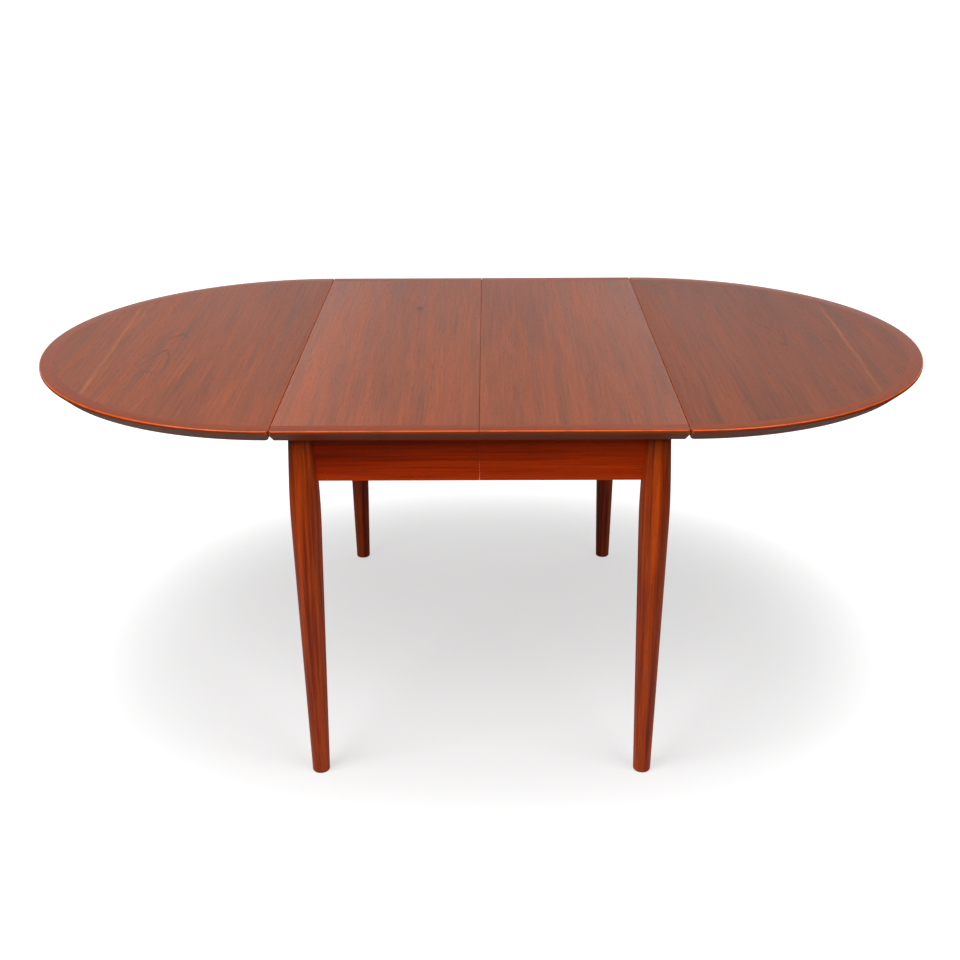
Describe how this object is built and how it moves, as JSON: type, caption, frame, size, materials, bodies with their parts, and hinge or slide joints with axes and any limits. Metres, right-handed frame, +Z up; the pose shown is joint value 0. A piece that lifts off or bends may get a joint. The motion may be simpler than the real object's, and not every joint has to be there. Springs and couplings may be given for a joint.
{
  "type": "drop leaf table",
  "caption": "Extending dining table with a split centre, half-elliptical drop leaves hinged to both ends and turned, tapering legs.",
  "frame": {"origin": "On the floor below the middle of the closed table with both leaves raised.", "axes": "+X along the table towards the right leaf, +Y across it away from the front apron, +Z up."},
  "size_m": [1.797, 1.072, 0.73],
  "materials": {
    "teak_veneer": "satin lacquered teak veneer",
    "teak_lipping": "satin lacquered solid teak",
    "teak_solid": "satin lacquered solid teak",
    "beech": "plain sanded beech",
    "brass": "rolled brass, lightly tarnished",
    "steel": "drawn steel pin"
  },
  "bodies": {
    "left_half": {"top_left": "teak_veneer", "lipping_left_front": "teak_lipping", "lipping_left_back": "teak_lipping", "leg_front_left": "teak_solid", "leg_back_left": "teak_solid", "apron_front_left": "teak_solid", "apron_back_left": "teak_solid", "apron_end_left": "teak_solid", "block_front_left": "beech", "block_back_left": "beech", "runner_left_front": "beech", "runner_left_back": "beech", "guide_front_left": "beech", "guide_back_left": "beech", "hinge_fixed_front_left": "brass", "hinge_fixed_back_left": "brass", "pin_front_left": "steel", "pin_back_left": "steel"},
    "right_half": {"top_right": "teak_veneer", "lipping_right_front": "teak_lipping", "lipping_right_back": "teak_lipping", "leg_front_right": "teak_solid", "leg_back_right": "teak_solid", "apron_front_right": "teak_solid", "apron_back_right": "teak_solid", "apron_end_right": "teak_solid", "block_front_right": "beech", "block_back_right": "beech", "runner_right_front": "beech", "runner_right_back": "beech", "guide_front_right": "beech", "guide_back_right": "beech", "hinge_fixed_front_right": "brass", "hinge_fixed_back_right": "brass", "pin_front_right": "steel", "pin_back_right": "steel", "dowel_front": "beech", "dowel_middle": "beech", "dowel_back": "beech"},
    "middle_runners": {"runner_middle_front": "beech", "runner_middle_back": "beech"},
    "leaf_left": {"leaf_left": "teak_veneer", "lipping_leaf_left": "teak_lipping", "hinge_leaf_front_left": "brass", "hinge_leaf_back_left": "brass"},
    "leaf_right": {"leaf_right": "teak_veneer", "lipping_leaf_right": "teak_lipping", "hinge_leaf_front_right": "brass", "hinge_leaf_back_right": "brass"},
    "loper_front_left": {"loper_front_left": "teak_solid"},
    "loper_back_left": {"loper_back_left": "teak_solid"},
    "loper_front_right": {"loper_front_right": "teak_solid"},
    "loper_back_right": {"loper_back_right": "teak_solid"}
  },
  "joints": [
    {"name": "right_half_slide", "type": "slide", "parent": "left_half", "child": "right_half", "axis": [1, 0, 0], "range_m": [0, 0.46]},
    {"name": "middle_runner_slide", "type": "slide", "parent": "left_half", "child": "middle_runners", "axis": [1, 0, 0], "range_m": [0, 0.23]},
    {"name": "leaf_left_hinge", "type": "hinge", "parent": "left_half", "child": "leaf_left", "pos_m": [-0.3625, 0, 0.706], "axis": [0, 1, 0], "range_deg": [-90, 0]},
    {"name": "leaf_right_hinge", "type": "hinge", "parent": "right_half", "child": "leaf_right", "pos_m": [0.3625, 0, 0.706], "axis": [0, -1, 0], "range_deg": [-90, 0]},
    {"name": "loper_front_left_slide", "type": "slide", "parent": "left_half", "child": "loper_front_left", "axis": [-1, 0, 0], "range_m": [0, 0.2]},
    {"name": "loper_back_left_slide", "type": "slide", "parent": "left_half", "child": "loper_back_left", "axis": [-1, 0, 0], "range_m": [0, 0.2]},
    {"name": "loper_front_right_slide", "type": "slide", "parent": "right_half", "child": "loper_front_right", "axis": [1, 0, 0], "range_m": [0, 0.2]},
    {"name": "loper_back_right_slide", "type": "slide", "parent": "right_half", "child": "loper_back_right", "axis": [1, 0, 0], "range_m": [0, 0.2]}
  ],
  "couplings": [
    {"joint": "middle_runner_slide", "follows": "right_half_slide", "ratio": 0.5}
  ]
}
